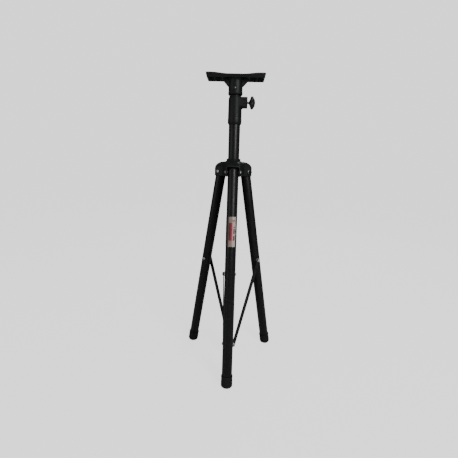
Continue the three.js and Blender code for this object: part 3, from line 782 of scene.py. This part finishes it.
def add_upright():
    """The outer tube, the block at its foot with its cross pin, and the braces' foot screws."""
    low, high = box_mm("main_tube")
    radius = (high[0] - low[0]) / 2
    add("upright_tube", tube(radius, radius - TUBE_WALL, low[2], high[2]), stand_at, "upright",
        "black_steel", "main_tube")

    # The block under the tube: a triangle with cut corners, a rounded rim and a round spigot.
    low, high = box_mm("bottom_block")
    top = box_mm("main_tube")[0][2] - 0.3
    face, corner = 19.1, 27.1
    half = math.sqrt(corner ** 2 - face ** 2)
    outline = []
    for facing in (-60, 60, 180):
        c, s = math.cos(math.radians(facing)), math.sin(math.radians(facing))
        outline += [[face * c - a * s, face * s + a * c] for a in (-half, half)]
    outline = rounded_path(outline, 2.2, ARC, closed=True)
    spigot = radius - TUBE_WALL - 0.3
    solids = [slab(outline, low[2], top, 1.0), lathe([[0, top - 2], [spigot, top - 2],
              [spigot, high[2] - 1], [spigot - 1, high[2]], [0, high[2]]])]
    underside = [turn(block(8.0, 15.5, -3.5, 3.5, low[2] - 1, low[2] + 6, 1.5), about_z=headings[leg])
                 for leg in LEG_NAMES]
    cross_hole = turn(rod(2.2, -25, 25, 24), "+x", (0, 0, box_mm("block_cross_pin")[0][2] + 2))
    mesh = carved(solids, [*underside, cross_hole], cell=0.5, rounds=3, keep=0.4)
    finish_piece("tube_foot_block", mesh, stand_at, "upright", "black_plastic", ["bottom_block"], 0)

    pin = lathe(rounded_path([[0, -18.9], [2, -18.9], [2, 18.9], [0, 18.9]], 0.5, 3), FINE)
    add("tube_cross_pin", turn(pin, "+x", (0, 0, mid_z("block_cross_pin"))), stand_at, "upright", "zinc",
        "block_cross_pin")

    for leg in LEG_NAMES:
        screw = turn(button_bolt(7.4, BRACE_INNER + BRACE_THICK + 0.3), "-y")
        add(f"brace_foot_screw_{leg}", screw, foot_at(leg), "upright", "zinc", f"foot_screw_{leg}")


def foot_at(leg):
    """Frame at a brace's lower pivot with its z upright."""
    m = arm_at[leg].copy()
    m[:3, 3] = brace_at[leg][:3, 3]
    return m


def add_pole():
    """The pole, the plug in its top and the bush round its bottom end."""
    low, high = box_mm("pole")
    radius = (high[0] - low[0]) / 2
    add("telescoping_pole", tube(radius, radius - POLE_WALL, low[2], high[2]), stand_at, "pole_body",
        "black_steel", "pole")
    low, high = box_mm("pole_top_plug")
    bore = radius - 1.8
    seat = box_mm("pole")[1][2] + 0.3
    cap = rounded_path([[0, low[2]], [bore, low[2]], [bore, seat], [radius, seat], [radius, high[2]],
                        [0, high[2]]], [0, 1, 0, 0, 0.8, 0])
    add("pole_top_cap", lathe(cap), stand_at, "pole_body", "black_plastic", "pole_top_plug")
    low, high = box_mm("pole_end_bush")
    seat = box_mm("pole")[0][2] - 0.3
    bush = rounded_path([[0, low[2]], [radius, low[2]], [radius, seat], [bore, seat], [bore, high[2]],
                         [0, high[2]]], [0, 0.8, 0, 0, 1, 0])
    add("pole_end_guide", lathe(bush), stand_at, "pole_body", "pale_nylon", "pole_end_bush")


# ---- clamp


def add_clamp():
    """The sleeve on the tube's top, a lathed shell with a square ribbed boss for the lock screw."""
    low, high = box_mm("clamp_sleeve")
    bottom, top = low[2], high[2]
    wide = SLEEVE_R
    tube_top = box_mm("main_tube")[1][2]
    centre = mid_z("clamp_screw")
    reach = high[0]
    shell = lathe(rounded_path([
        [0, bottom], [wide - 2.4, bottom], [wide - 0.3, bottom + 4.5], [wide, bottom + 8],
        [wide, bottom + 17], [wide - 0.4, bottom + 18.5], [wide - 1.1, top - 8], [wide - 3.8, top],
        [0, top]], [0, 0.6, 2, 2, 0.6, 0.6, 3, 0.8, 0], 5))
    half = 16.0  # of the square boss
    corners = [[-half, -half], [half, -half], [half, half], [-half, half]]
    boss = turn(slab(rounded_path(corners, 5.0, 8, closed=True), 4, reach - 0.1, 1.0), "+x", (0, 0, centre))
    web = turn(slab([[18, -half - 7], [24.2, -half - 3], [30, -half + 3], [18, -half + 4]], -1.6, 1.6, 0.3),
               "face", (0, 0, centre))
    solids = [shell, boss, web]
    nut_end = box_mm("clamp_nut")[1][0] + 0.3
    cutters = [
        lathe([[0, bottom - 2], [19.3, bottom - 2], [19.3, tube_top + 0.3], [POLE_HOLE_R, tube_top + 0.3],
               [POLE_HOLE_R, top + 2], [0, top + 2]]),
        *lock_holes("+x", centre, nut_end, reach),
    ]
    # Two grooves along each face of the boss leave three ribs.
    for spin in range(4):
        for side in (-5.6, 5.6):
            groove = block(side - 2.4, side + 2.4, half - 1.6, half + 2, wide + 1.5, reach - 2.6)
            cutters.append(turn(turn(groove, about_z=spin * math.pi / 2), "+x", (0, 0, centre)))
    mesh = carved(solids, cutters, cell=0.5, rounds=3, keep=0.35)
    finish_piece("pole_clamp", mesh, stand_at, "upright", "black_plastic", ["clamp_sleeve"], 0)

    add_lock("clamp", "+x", centre, "clamp", "clamp_knob_body", "upright", 20.3)


def lock_holes(way, centre, nut_end, reach):
    """A clear hole for a lock screw, and a hexagonal pocket for its nut."""
    return [turn(rod(LOCK_BORE, 0, reach + 2), way, (0, 0, centre)),
            turn(rod(LOCK_POCKET, 0, nut_end, 6), way, (0, 0, centre))]


def add_lock(name, way, centre, nodes, knob_body, fixed_body, knob_radius):
    """The pieces of a screw clamp, from the pad on the tube out to the hand knob."""
    axis = 0 if way == "+x" else 1
    offset = 0.0 if axis == 0 else axis_xy[1] / MM
    up = (0, 0, centre)

    def span(node):
        low, high = box_mm(node)
        return low[axis] - offset, high[axis] - offset

    start, end = span(f"{nodes}_pad")
    disc = lathe(rounded_path([[0, start], [6, start], [6, end], [0, end]], 0.6, 4), FINE)
    add(f"{name}_pressure_pad", turn(disc, way, up), stand_at, fixed_body, "pale_nylon", f"{nodes}_pad")
    nut = hex_nut(LOCK_BORE, 6.4, *span(f"{nodes}_nut"))
    add(f"{name}_hex_nut", turn(nut, way, up), stand_at, fixed_body, "zinc", f"{nodes}_nut")
    screw = threaded_rod(SCREW, *span(f"{nodes}_screw"))
    add(f"{name}_threaded_screw", turn(screw, way, up), stand_at, knob_body, "zinc", f"{nodes}_screw")
    start, end = span(f"{nodes}_knob")
    grip = turn(lobed_knob(knob_radius, end - start, SCREW + 0.4), way,
                tuple(np.array(up) + TURNS[way] @ [0, 0, start]))
    finish_piece(f"{name}_hand_knob", build_mesh(f"{name}_hand_knob", grip), stand_at, knob_body,
                 "black_plastic", [f"{nodes}_knob"], 50.0, knob_finish_with_highlight)


# ---- platform


def dished_plate(half_length, half_depth, bottom, top, lip, lip_start, lip_end):
    """The platform: stations along x, each a stepped and rounded oblong in (y, z).

    The top is flat to lip_start and rises by lip (1 - cos) / 2 to lip_end. The long sides lean in
    downwards, with a small step half way. The last stations draw in to round the ends, and they
    lean in by up to 2.5 mm towards the underside.
    """
    inner = np.linspace(0, half_length - 14, 26)
    x = np.concatenate([inner, half_length - 14 + 11 * np.linspace(0, 1, 6)[1:],
                        half_length - 3 + 3 * np.sin(np.linspace(0, math.pi / 2, 5)[1:])])
    x = np.concatenate([-x[:0:-1], x])
    rings = []
    for place in x:
        a = abs(place)
        rise = np.clip((a - lip_start) / (lip_end - lip_start), 0, 1)
        upper = top + lip * (1 - math.cos(math.pi * rise)) / 2
        over = max(a - (half_length - 3), 0) / 3
        shrink = 3 * (1 - math.sqrt(max(1 - over * over, 0.0)))
        step = bottom + (upper - bottom) * 0.52
        y0, y1, y2 = (half_depth - shrink - d for d in (2.6, 1.2, 0.0))
        right = [[y0, bottom + 0.3 * shrink], [y1, step - 0.5], [y2, step + 0.3], [y2, upper - 0.2 * shrink]]
        left = [[-y, z] for y, z in right[::-1]]
        loop = rounded_path(right + left, [1.0, 0.5, 0.5, 1.5, 1.5, 0.5, 0.5, 1.0], 4, closed=True)
        lean = np.clip((a - half_length + 14) / 14, 0, 1) * np.clip(1 - (loop[:, 1] - bottom) / 9, 0, 1)
        rings.append(np.column_stack([place - math.copysign(2.5, place) * lean, loop]))
    return skin(np.array(rings), "cap")


def platform_collar(bottom, plate_bottom):
    """The collar on z, with a step near its foot and a flare under the plate."""
    return lathe(rounded_path([
        [0, bottom], [COLLAR_R - 1.6, bottom], [COLLAR_R, bottom + 2.2], [COLLAR_R, bottom + 9],
        [COLLAR_R - 0.6, bottom + 10], [COLLAR_R - 0.4, plate_bottom - 6],
        [COLLAR_R + 2.5, plate_bottom + 1], [0, plate_bottom + 1]], [0, 0.8, 1, 0.5, 0.5, 4, 0, 0], 5))


def platform_gussets(half_depth, plate_bottom):
    """Two slanted ribs with a web between them at each end, and a low rib front and back."""
    end, side = COLLAR_R + GUSSET, half_depth - 2.4
    rib = [[RIB_START, -GUSSET + 4], [COLLAR_R + 0.5, -GUSSET], [end - 1.5, -0.8], [end, 1], [RIB_START, 1]]
    web = [[RIB_START, -GUSSET + 4], [COLLAR_R, -GUSSET + 1], [end - 3, 1], [RIB_START, 1]]
    low_rib = [[RIB_START, -9], [COLLAR_R, -8.4], [side, -0.4], [side, 1], [RIB_START, 1]]
    shapes = []
    for spin in (0, math.pi):
        for y in (-GUSSET_APART, GUSSET_APART):
            upright = slab(rib, -RIB_HALF, RIB_HALF, 0.4)
            shapes.append(turn(upright, "face", (0, y, plate_bottom), about_z=spin))
        between = slab(web, -GUSSET_APART, GUSSET_APART, 0.3)
        shapes.append(turn(between, "face", (0, 0, plate_bottom), about_z=spin))
    for spin in (math.pi / 2, -math.pi / 2):
        upright = slab(low_rib, -RIB_HALF, RIB_HALF, 0.4)
        shapes.append(turn(upright, "face", (0, 0, plate_bottom), about_z=spin))
    return shapes


def underside_pockets(half_length, half_depth, plate_bottom):
    """Pockets that leave a rim, three ribs along each half of the plate and one across it."""
    start, middle, end = COLLAR_R + GUSSET + 1.0, 68.0, half_length - 8.0
    edges = np.linspace(-half_depth + 5.2, half_depth - 5.2, 5)
    rib = 1.2
    pockets = []
    for spin in (0, math.pi):
        for x0, x1 in ((start, middle - rib), (middle + rib, end)):
            for y0, y1 in zip(edges[:-1], edges[1:]):
                pocket = block(x0, x1, y0 + rib, y1 - rib, plate_bottom - 5, plate_bottom + POCKET_DEEP, 2.0)
                pockets.append(turn(pocket, about_z=spin))
    return pockets


def add_head():
    """The platform with its collar and ribs, and the screw that holds it on the pole."""
    low, high = box_mm("head_plate")
    half_length = (high[0] - low[0]) / 2 - 0.2
    half_depth = (high[1] - low[1]) / 2 - 0.2
    bottom = low[2]
    middle_top = mounts["speaker_platform"]["pos_m"][2] / MM
    plate_bottom = middle_top - PLATE_THICK
    screw_at = (0, 0, mid_z("head_set_screw"))
    lip = high[2] - middle_top
    boss = lathe([[0, 16], [5.4, 16], [4.8, COLLAR_R + 0.9], [0, COLLAR_R + 0.9]], FINE)
    solids = [
        dished_plate(half_length, half_depth, plate_bottom, middle_top, lip, LIP_START, LIP_END),
        platform_collar(bottom, plate_bottom),
        *platform_gussets(half_depth, plate_bottom),
        turn(boss, "-y", screw_at),
    ]
    cutters = [
        rod(POLE_HOLE_R, bottom - 2, box_mm("pole_top_plug")[1][2] + 0.6, SIDES),
        turn(rod(2.8, 0, 40), "-y", screw_at),
        *underside_pockets(half_length, half_depth, plate_bottom),
    ]
    mesh = carved(solids, cutters, cell=0.6, rounds=2, keep=0.4)
    finish_piece("speaker_platform_plate", mesh, stand_at, "head", "black_plastic", ["head_plate"], 0)

    low, high = box_mm("head_set_screw")
    screw = grub_screw(axis_xy[1] / MM - high[1], axis_xy[1] / MM - low[1])
    add("platform_grub_screw", turn(screw, "-y", screw_at), stand_at, "head", "zinc", "head_set_screw")


# ---- hub


def clevis_tiers(under):
    """A clevis about its pivot, outward along +x: side outlines pushed across, one in another.

    Each outline is flat below, upright outside, and rounds over into a domed top. The narrower
    ones are taller: at an angle t of a quarter turn, an outline is 9 (1 - cos t) narrower on each
    side and 6.5 (1 - sin t) lower, which rounds the dome's long edges.
    """
    inner = -pivot_r + 8
    tiers = []
    for t in np.linspace(0.08, 1, 7) * math.pi / 2:
        narrower, lower = 0.2 + 9 * (1 - math.cos(t)), 0.2 + 6.5 * (1 - math.sin(t))
        dome = [[CLEVIS_REACH - d, z - lower] for d, z in ((0.2, 18), (1.8, 21.6), (4.8, 25.0), (10, 28.6),
                                                           (18, 32.0), (30, 33.8))]
        outline = [[inner, under], [CLEVIS_REACH - 0.2, under], *dome, [inner, 34 - lower]]
        outline = rounded_path(outline, [0, 1.0] + [4.0] * len(dome) + [0], 3, closed=True)
        half = CLEVIS_HALF - narrower
        tiers.append(turn(slab(outline, -half, half, 0.6), "face"))
    return tiers


def shoulder_pockets():
    """Pockets in both sides of a clevis's shoulder: two crescents with a thin ledge between."""
    upper = [[-13.5, 22.4], [9.6, 22.4], [7.4, 24.0], [3.4, 26.4], [-3, 28.6], [-9, 29.6], [-13.5, 29.4]]
    lower = [[-13.5, 17.0], [10.8, 17.0], [10.2, 20.8], [-13.5, 20.8]]
    pockets = []
    for outline in (upper, lower):
        shape = rounded_path(outline, 0.9, 3, closed=True)
        for y0, y1 in ((-30, -20.6), (20.6, 30)):
            pockets.append(turn(slab(shape, y0, y1, 0.1), "face"))
    return pockets


def clevis_room():
    """Room for a leg's end to swing between the cheeks, and the hole for the pivot bolt."""
    return [turn(rod(SWING_R, -SLOT_HALF, SLOT_HALF, 64), "+y"),
            block(-SWING_R, 60, -SLOT_HALF, SLOT_HALF, -30, 0),
            block(0, 60, -SLOT_HALF, SLOT_HALF, -1, SWING_R * 0.74),
            turn(rod(BOLT + 0.3, -40, 40, 32), "+y")]


def on_arm(shape, leg):
    """A shape about the pivot, outward along +x, put on a leg's arm of the hub."""
    verts, faces = shape
    return turn((verts + np.array([pivot_r, 0, pivot_z]), faces), about_z=headings[leg])


def add_hub():
    """The sliding hub: a lathed core, three clevises and a boss for the lock, with the bolts."""
    low, high = box_mm("hub_body")
    bottom, top = low[2], high[2]
    foot = top - 10.5  # of the neck
    core = lathe(rounded_path([
        [0, bottom], [CORE_R - 1, bottom], [CORE_R, bottom + 2], [CORE_R, foot - 5],
        [CORE_R - 5, foot - 0.4], [NECK_R + 4.5, foot + 0.9], [NECK_R - 0.6, foot + 4.2],
        [NECK_R - 0.6, foot + 6.0], [NECK_R, foot + 6.8], [NECK_R, top - 1.6], [NECK_R - 1.4, top],
        [0, top]],
        [0, 1, 1, 3.5, 6, 5, 1.2, 0.5, 0.8, 1.2, 0.8, 0], 5))
    pad = lathe([[0, CLEVIS_HALF - 3], [8.0, CLEVIS_HALF - 3], [7.2, CLEVIS_HALF + 0.2],
                 [0, CLEVIS_HALF + 0.2]], FINE)
    clevis = [*clevis_tiers(bottom - pivot_z), turn(pad, "+y"), turn(pad, "-y")]
    room = [*shoulder_pockets(), *clevis_room()]
    solids = [core, *(on_arm(shape, leg) for leg in LEG_NAMES for shape in clevis)]
    cutters = [rod(TUBE_HOLE_R, bottom - 2, top + 2, SIDES)]
    cutters += [on_arm(shape, leg) for leg in LEG_NAMES for shape in room]
    lock_z = mid_z("hub_lock_screw")
    reach, nut_end = (box_mm(node)[1][1] - axis_xy[1] / MM for node in ("hub_body", "hub_lock_nut"))
    lock_reach = 44.0
    boss = lathe(rounded_path([[0, 4], [12.2, 4], [11, NECK_R + 12], [11, lock_reach], [0, lock_reach]],
                              [0, 0, 4, 1.2, 0], 4))
    solids.append(turn(boss, "+y", (0, 0, lock_z)))
    cutters += lock_holes("+y", lock_z, nut_end + 0.3, reach)
    mesh = carved(solids, cutters, cell=0.55, rounds=3, keep=0.3)
    finish_piece("leg_hub", mesh, stand_at, "hub", "black_plastic", ["hub_body"], 0)
    add_lock("hub_lock", "+y", lock_z, "hub_lock", "hub_knob_body", "hub", 14.9)
    bolt = turn(button_bolt(-CLEVIS_HALF - HEAD_H - 1.1, CLEVIS_HALF + 0.3), "+y")
    nut = turn(hex_nut(BOLT + 0.3, 4.8, CLEVIS_HALF + 0.3, CLEVIS_HALF + 2.7, 0.5, 1.1), "-y")
    for leg in LEG_NAMES:
        add(f"leg_pivot_bolt_{leg}", bolt, arm_at[leg], "hub", "zinc", f"pivot_bolt_{leg}")
        add(f"leg_pivot_nut_{leg}", nut, arm_at[leg], "hub", "zinc", f"pivot_nut_{leg}")


# ---- legs


def boot_shape(length):
    """A rubber boot in the leg's frame: a lip, two shallow grooves, a rounded end, and a bore."""
    end, seat, top = -length - 3.0, -length + 7.7, -length + 38.0
    corners = [[0, end], [13, end], [19.4, end + 4.5], [19.7, end + 12], [19.2, end + 13.2],
               [19.2, end + 14.6], [19.75, end + 15.8], [19.75, end + 19], [19.2, end + 20.2],
               [19.2, end + 21.6], [19.7, end + 22.8], [19.3, top - 5.2], [20, top - 4.4], [20, top - 0.9],
               [19.2, top], [17.8, top], [17.8, seat], [0, seat]]
    radii = [0, 6, 5, 0.8, 0.5, 0.5, 0.8, 0.8, 0.5, 0.5, 0.8, 0.6, 0.8, 1, 0.6, 0.5, 0.5, 0]
    return lathe(rounded_path(corners, radii, 5))


def add_boot(leg):
    """A boot in the row frame, worn flat where it stands: no point is under the floor."""
    verts, faces = boot_shape(leg_length[leg])
    m = leg_at[leg]
    world = verts @ m[:3, :3].T + m[:3, 3]
    world[:, 2] = np.maximum(world[:, 2], 0.0)
    mesh = build_mesh(f"rubber_boot_{leg}", (world, faces))
    finish_piece(f"rubber_boot_{leg}", mesh, np.eye(4), f"leg_{leg}_body", "rubber", [f"boot_{leg}"], 40.0)


def add_label(body):
    """The film round the front leg: a closed sheet over part of a circle, with its own UV map.

    A point is (r cos a, r sin a, z), a across the wrap, r outer then inner.
    """
    low, high = LABEL_SPAN
    left, right = np.radians(LABEL_WRAP)
    across, along = 49, 25
    a = np.linspace(left, right, across)
    a = np.concatenate([a, a[::-1]])
    r = np.repeat(LABEL_R[::-1], across)
    z, a = np.meshgrid(np.linspace(low, high, along), a, indexing="ij")
    verts, faces = skin(np.stack([r * np.cos(a), r * np.sin(a), z], -1), "cap")
    mesh = build_mesh("printed_label", (verts, faces))
    angle = np.arctan2(verts[:, 1], verts[:, 0])
    u = (angle - left) / (right - left)
    v = (verts[:, 2] - low) / (high - low)
    layer = mesh.uv_layers.new(name="wrap")
    index = np.empty(len(mesh.loops), int)
    mesh.loops.foreach_get("vertex_index", index)
    layer.data.foreach_set("uv", np.column_stack([u[index], v[index]]).ravel())
    finish_piece("printed_label", mesh, leg_at["front"], body, "label_film", ["leg_label"], 30.0)


def add_leg(leg):
    """A leg tube with its top cap and boot, and the washer and bolt for its brace."""
    body = f"leg_{leg}_body"
    low_end = -leg_length[leg] + LEG_END_RISE
    add(f"leg_pipe_{leg}", tube(LEG_R, LEG_R - LEG_WALL, low_end, LEG_TOP), leg_at[leg], body, "black_steel",
        f"leg_tube_{leg}")
    cap = LEG_TOP + 0.3
    plug = rounded_path([[0, -22], [15.7, -22], [15.7, cap], [17.1, cap], [15.8, cap + 3], [12, cap + 5.5],
                         [0, cap + 6.5]], [0, 1.5, 0, 0.5, 2.5, 6, 0], 5)
    add(f"leg_top_cap_{leg}", lathe(plug), leg_at[leg], body, "black_plastic", f"leg_plug_{leg}")
    add_boot(leg)
    drop = (0, 0, -BRACE_DOWN_LEG)
    washer = lathe(rounded_path([[3.3, 17.8], [8, 17.8], [8, 19.1], [3.3, 19.1]], 0.3, 3, closed=True), FINE)
    add(f"brace_washer_{leg}", turn(washer, "-y", drop), leg_at[leg], body, "pale_nylon",
        f"leg_spacer_{leg}")
    bolt = button_bolt(-19.0, 17.8)
    add(f"leg_brace_bolt_{leg}", turn(bolt, "+y", drop), leg_at[leg], body, "zinc", f"brace_bolt_{leg}")


def add_brace(leg):
    """A flat strip in the brace's frame, round at both ends, with a hole at each pivot."""
    body = f"brace_{leg}_body"
    length = brace_length[leg]
    a = np.linspace(0, math.pi, 25)
    arc = BRACE_HALF * np.column_stack([np.cos(a), np.sin(a)])
    outline = np.vstack([arc + [0, length], -arc])
    verts, faces = slab(outline, -BRACE_INNER - BRACE_THICK, -BRACE_INNER, 0.45)
    verts = np.stack([-verts[:, 0], verts[:, 2], verts[:, 1]], -1)
    holes = [turn(rod(BOLT + 0.3, 10, 30), "-y", (0, 0, z)) for z in (0.0, length)]
    mesh = cut([(verts, faces)], holes)[0]
    finish_piece(f"brace_strip_{leg}", mesh, brace_at[leg], body, "black_steel", [f"brace_{leg}"], 25.0)
    rivet = button_bolt(BRACE_INNER, BRACE_INNER + BRACE_THICK + 0.3)
    add(f"brace_top_rivet_{leg}", turn(rivet, "-y", (0, 0, length)), brace_at[leg], body, "zinc",
        f"brace_rivet_{leg}")


# ---- camera, floor and light


def add_camera():
    """A camera a little under the platform's height, aimed down at the middle of the stand."""
    distance, height = 1.0108, 0.7475
    pitch, pan, roll, swing = (math.radians(v) for v in (13.22, -0.53, 1.5, 0.73))
    lens = 22.52
    forward = np.array([math.sin(pan) * math.cos(pitch), math.cos(pan) * math.cos(pitch), -math.sin(pitch)])
    right = np.array([math.cos(pan), -math.sin(pan), 0.0])
    up = np.cross(right, forward)
    c, s = math.cos(roll), math.sin(roll)
    right, up = right * c + up * s, up * c - right * s
    turn_z = np.array([[math.cos(swing), -math.sin(swing), 0], [math.sin(swing), math.cos(swing), 0],
                       [0, 0, 1]])
    place = turn_z @ np.array([0, -distance, height]) + np.array([*axis_xy, 0])
    m = np.eye(4)
    m[:3, 0], m[:3, 1], m[:3, 2], m[:3, 3] = turn_z @ right, turn_z @ up, -(turn_z @ forward), place
    data = bpy.data.cameras.new("studio_camera")
    data.lens = lens
    data.sensor_width = 36.0
    data.clip_start = 0.02
    camera = bpy.data.objects.new("studio_camera", data)
    camera.matrix_world = Matrix(m.tolist())
    bpy.context.scene.collection.objects.link(camera)
    bpy.context.scene.camera = camera


def add_floor():
    """A pale floor: matt white, with a glow that only the eye sees, so it stays near white."""
    mesh = bpy.data.meshes.new("studio_floor")
    size = 24.0
    corners = [(-size, -size, 0), (size, -size, 0), (size, size, 0), (-size, size, 0)]
    mesh.from_pydata(corners, [], [(0, 1, 2, 3)])
    floor = bpy.data.objects.new("studio_floor", mesh)
    floor.location.z = -0.0004
    material = bpy.data.materials.new("pale_floor")
    material.use_nodes = True
    tree = material.node_tree
    shader = tree.nodes["Principled BSDF"]
    shader.inputs["Base Color"].default_value = (0.5, 0.5, 0.5, 1)
    shader.inputs["Roughness"].default_value = 0.9
    shader.inputs["Specular IOR Level"].default_value = 0.1
    shader.inputs["Emission Color"].default_value = (1, 1, 1, 1)
    seen = wire(tree, "ShaderNodeLightPath").outputs["Is Camera Ray"]
    fill(tree, shader, {"Emission Strength": maths(tree, "MULTIPLY", seen, FLOOR_GLOW)})
    mesh.materials.append(material)
    bpy.context.scene.collection.objects.link(floor)


def add_light(name, place, target, size, power):
    """A soft oblong light aimed at a target."""
    data = bpy.data.lights.new(name, "AREA")
    data.shape = "RECTANGLE"
    data.size, data.size_y = size
    data.energy = power
    light = bpy.data.objects.new(name, data)
    light.location = place
    light.rotation_euler = (Vector(target) - Vector(place)).to_track_quat("-Z", "Y").to_euler()
    bpy.context.scene.collection.objects.link(light)


def add_studio():
    """An even backdrop, bright only to the camera, and three soft lights."""
    world = bpy.data.worlds.new("studio")
    bpy.context.scene.world = world
    world.use_nodes = True
    tree = world.node_tree
    background = tree.nodes["Background"]
    background.inputs["Color"].default_value = (1, 1, 1, 1)
    seen = wire(tree, "ShaderNodeLightPath").outputs["Is Camera Ray"]
    fill(tree, background, {"Strength": remap(tree, seen, 0.0, 1.0, ROOM_LIGHT, BACKDROP)})
    middle = (axis_xy[0], axis_xy[1], 0.55)
    add_light("key", (1.3, -1.9, 1.9), middle, (0.8, 1.6), 34)
    add_light("fill", (-2.0, -1.2, 1.1), middle, (1.6, 1.6), 7)
    add_light("rim", (0.6, 2.2, 1.9), middle, (1.4, 1.0), 9)


add_camera()
add_floor()
add_studio()
add_upright()
add_pole()
add_clamp()
add_head()
add_hub()
for leg in LEG_NAMES:
    add_leg(leg)
    add_brace(leg)
add_label("leg_front_body")
